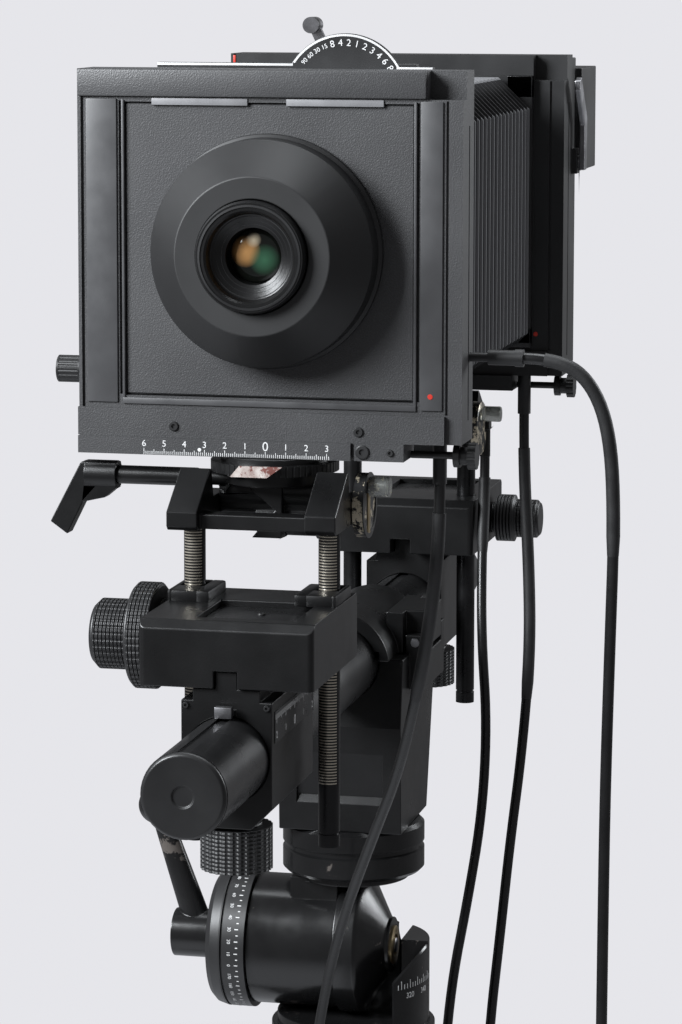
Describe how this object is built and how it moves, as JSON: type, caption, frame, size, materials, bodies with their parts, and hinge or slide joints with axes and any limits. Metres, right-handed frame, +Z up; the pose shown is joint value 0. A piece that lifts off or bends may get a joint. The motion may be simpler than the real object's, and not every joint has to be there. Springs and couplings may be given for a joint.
{
  "type": "film camera on tripod",
  "caption": "Large-format monorail film camera with bellows on a pan-and-tilt head, a folding three-legged tripod and four hanging cables.",
  "frame": {"origin": "floor level, in the middle of the whole footprint", "axes": "+Z up, the lens looks along -Y, +X to the right of a viewer who faces the lens"},
  "size_m": [0.557, 0.6676, 1.1965],
  "materials": {
    "bellows_skin": "folded black leatherette",
    "black_alloy": "satin black anodised alloy",
    "black_paint": "fine crinkle black paint on light alloy",
    "black_plastic": "matte black moulding",
    "cable_rubber": "smooth black cable jacket",
    "chrome_trim": "bright plated steel",
    "dial_black": "black dial with pale figures",
    "frame_black": "matte black crackle enamel",
    "gland_rubber": "black moulded rubber",
    "steel_posts": "blackened steel with bright engraved lines",
    "tube_black": "black anodised tube"
  },
  "bodies": {
    "tripod": {"tripod_crown": "black_paint", "cable_1": "cable_rubber", "cable_2": "cable_rubber", "cable_3": "cable_rubber", "cable_4": "cable_rubber", "cable_coil_1": "cable_rubber", "cable_coil_2": "cable_rubber", "cable_coil_3": "cable_rubber", "cable_coil_4": "cable_rubber", "cable_plugs": "gland_rubber"},
    "head": {"pan_base": "black_alloy", "tilt_cap": "black_alloy", "tilt_ring": "dial_black"},
    "platform": {"tilt_drum": "black_alloy", "platform_disc": "black_alloy", "clamp_bracket": "black_paint"},
    "head_handle": {"tilt_handle": "black_alloy"},
    "jaw": {"clamp_jaw": "black_paint"},
    "jaw_lever": {"clamp_lever": "black_paint"},
    "rail": {"rail_tube": "tube_black", "rail_caps": "black_plastic"},
    "shutter_lever": {"dial_lever": "chrome_trim"},
    "side_knob": {"front_side_knob": "black_plastic"},
    "film_lever": {"back_lever": "chrome_trim"},
    "lock_lever": {"front_lever": "black_alloy"},
    "leg_1": {"leg_upper_1": "tube_black"},
    "foot_1": {"leg_lower_1": "tube_black"},
    "leg_2": {"leg_upper_2": "tube_black"},
    "foot_2": {"leg_lower_2": "tube_black"},
    "leg_3": {"leg_upper_3": "tube_black"},
    "foot_3": {"leg_lower_3": "tube_black"},
    "front_carriage": {"front_block": "black_paint"},
    "front_clamp_knob": {"front_block_knob": "black_plastic"},
    "front_slide": {"front_bearer": "black_paint"},
    "front_drive_knob": {"front_focus_knob": "black_plastic"},
    "front_riser": {"front_posts": "steel_posts", "front_yoke": "black_paint", "front_tilt_scale": "dial_black"},
    "front_tilter": {"front_tilt_head": "black_paint"},
    "front_swinger": {"front_swing_disc": "black_paint"},
    "front_lock_knob": {"front_shift_knob": "black_plastic"},
    "rear_carriage": {"rear_block": "black_paint"},
    "rear_clamp_knob": {"rear_block_knob": "black_plastic"},
    "rear_slide": {"rear_bearer": "black_paint"},
    "rear_drive_knob": {"rear_focus_knob": "black_plastic"},
    "rear_riser": {"rear_posts": "steel_posts", "rear_yoke": "black_paint"},
    "rear_tilter": {"rear_tilt_head": "black_paint"},
    "rear_swinger": {"rear_swing_disc": "black_paint"},
    "rear_lock_knob": {"rear_shift_knob": "black_plastic"},
    "front_standard": {"front_frame": "frame_black", "lens_board": "frame_black", "lens_hood": "black_plastic", "lens_barrel": "black_alloy", "shutter_dial": "dial_black", "front_glands": "gland_rubber", "bellows": "bellows_skin"},
    "rear_standard": {"rear_frame": "frame_black", "film_back": "black_plastic", "rear_glands": "gland_rubber"}
  },
  "joints": [
    {"name": "leg_fold_1", "type": "hinge", "parent": "tripod", "child": "leg_1", "pos_m": [0.04157, -0.0098, 0.604], "axis": [0.5, 0.866, 0], "range_deg": [0, 20]},
    {"name": "leg_extend_1", "type": "slide", "parent": "leg_1", "child": "foot_1", "axis": [0.3384, -0.1954, -0.9205], "range_m": [0, 0.25]},
    {"name": "leg_fold_2", "type": "hinge", "parent": "tripod", "child": "leg_2", "pos_m": [0, 0.0622, 0.604], "axis": [-1, 0, 0], "range_deg": [0, 20]},
    {"name": "leg_extend_2", "type": "slide", "parent": "leg_2", "child": "foot_2", "axis": [0, 0.3907, -0.9205], "range_m": [0, 0.25]},
    {"name": "leg_fold_3", "type": "hinge", "parent": "tripod", "child": "leg_3", "pos_m": [-0.04157, -0.0098, 0.604], "axis": [0.5, -0.866, 0], "range_deg": [0, 20]},
    {"name": "leg_extend_3", "type": "slide", "parent": "leg_3", "child": "foot_3", "axis": [-0.3384, -0.1954, -0.9205], "range_m": [0, 0.25]},
    {"name": "head_pan", "type": "hinge", "parent": "tripod", "child": "head", "pos_m": [0, 0.0142, 0.64], "axis": [0, 0, 1], "continuous": true, "deforming": ["cable_1", "cable_2", "cable_3", "cable_4", "bellows"]},
    {"name": "head_tilt", "type": "hinge", "parent": "head", "child": "platform", "pos_m": [0, 0.0142, 0.698], "axis": [1, 0, 0], "range_deg": [-30, 30]},
    {"name": "head_lock", "type": "hinge", "parent": "head", "child": "head_handle", "pos_m": [-0.086, 0.0142, 0.698], "axis": [1, 0, 0], "range_deg": [-50, 50]},
    {"name": "clamp_open", "type": "hinge", "parent": "platform", "child": "jaw", "pos_m": [0.036, 0.0272, 0.866], "axis": [0, 1, 0], "range_deg": [0, 20]},
    {"name": "clamp_lock", "type": "hinge", "parent": "jaw", "child": "jaw_lever", "pos_m": [-0.027, 0.0262, 0.8784], "axis": [0, 0, 1], "range_deg": [-90, 0]},
    {"name": "rail_slide", "type": "slide", "parent": "platform", "child": "rail", "axis": [0, 1, 0], "range_m": [-0.03, 0.03]},
    {"name": "front_coarse_focus", "type": "slide", "parent": "rail", "child": "front_carriage", "axis": [0, 1, 0], "range_m": [-0.05, 0.06]},
    {"name": "front_carriage_lock", "type": "hinge", "parent": "front_carriage", "child": "front_clamp_knob", "pos_m": [0, -0.2383, 0.814], "axis": [0, 0, 1], "continuous": true},
    {"name": "front_fine_focus", "type": "slide", "parent": "front_carriage", "child": "front_slide", "axis": [0, 1, 0], "range_m": [-0.008, 0.008]},
    {"name": "front_fine_drive", "type": "hinge", "parent": "front_slide", "child": "front_drive_knob", "pos_m": [-0.06, -0.1958, 0.9025], "axis": [1, 0, 0], "range_deg": [-50, 50]},
    {"name": "front_rise", "type": "slide", "parent": "front_slide", "child": "front_riser", "axis": [0, 0, 1], "range_m": [-0.02, 0.08]},
    {"name": "front_tilt", "type": "hinge", "parent": "front_riser", "child": "front_tilter", "pos_m": [0, -0.1623, 0.964], "axis": [1, 0, 0], "range_deg": [-8, 8]},
    {"name": "front_swing", "type": "hinge", "parent": "front_tilter", "child": "front_swinger", "pos_m": [0, -0.1623, 0.983], "axis": [0, 0, 1], "range_deg": [-15, 15]},
    {"name": "front_shift", "type": "slide", "parent": "front_swinger", "child": "front_standard", "axis": [1, 0, 0], "range_m": [-0.02, 0.02]},
    {"name": "front_shift_lock", "type": "hinge", "parent": "front_standard", "child": "front_lock_knob", "pos_m": [0.092, -0.1623, 0.9892], "axis": [1, 0, 0], "continuous": true},
    {"name": "rear_coarse_focus", "type": "slide", "parent": "rail", "child": "rear_carriage", "axis": [0, 1, 0], "range_m": [-0.025, 0.045]},
    {"name": "rear_carriage_lock", "type": "hinge", "parent": "rear_carriage", "child": "rear_clamp_knob", "pos_m": [0, 0.2077, 0.814], "axis": [0, 0, 1], "continuous": true},
    {"name": "rear_fine_focus", "type": "slide", "parent": "rear_carriage", "child": "rear_slide", "axis": [0, 1, 0], "range_m": [-0.008, 0.008]},
    {"name": "rear_fine_drive", "type": "hinge", "parent": "rear_slide", "child": "rear_drive_knob", "pos_m": [0.06, 0.1947, 0.904], "axis": [1, 0, 0], "range_deg": [-50, 50]},
    {"name": "rear_rise", "type": "slide", "parent": "rear_slide", "child": "rear_riser", "axis": [0, 0, 1], "range_m": [-0.02, 0.08]},
    {"name": "rear_tilt", "type": "hinge", "parent": "rear_riser", "child": "rear_tilter", "pos_m": [0, 0.1317, 0.964], "axis": [1, 0, 0], "range_deg": [-8, 8]},
    {"name": "rear_swing", "type": "hinge", "parent": "rear_tilter", "child": "rear_swinger", "pos_m": [0, 0.1317, 0.983], "axis": [0, 0, 1], "range_deg": [-15, 15]},
    {"name": "rear_shift", "type": "slide", "parent": "rear_swinger", "child": "rear_standard", "axis": [1, 0, 0], "range_m": [-0.02, 0.02]},
    {"name": "rear_shift_lock", "type": "hinge", "parent": "rear_standard", "child": "rear_lock_knob", "pos_m": [0.092, 0.1317, 0.9892], "axis": [1, 0, 0], "continuous": true},
    {"name": "front_head_lock", "type": "hinge", "parent": "front_tilter", "child": "lock_lever", "pos_m": [-0.077, -0.1703, 0.976], "axis": [1, 0, 0], "range_deg": [-80, 0]},
    {"name": "shutter_set", "type": "hinge", "parent": "front_standard", "child": "shutter_lever", "pos_m": [0.031, -0.141, 1.158], "axis": [0, 1, 0], "range_deg": [0, 70]},
    {"name": "side_knob_turn", "type": "hinge", "parent": "front_standard", "child": "side_knob", "pos_m": [-0.102, -0.1623, 1.026], "axis": [1, 0, 0], "continuous": true},
    {"name": "film_latch", "type": "hinge", "parent": "rear_standard", "child": "film_lever", "pos_m": [0.098, 0.1512, 1.113], "axis": [1, 0, 0], "range_deg": [-60, 0]}
  ],
  "couplings": [
    {"joint": "front_fine_drive", "follows": "front_fine_focus", "rad_per_m": 100},
    {"joint": "rear_fine_drive", "follows": "rear_fine_focus", "rad_per_m": 100}
  ]
}
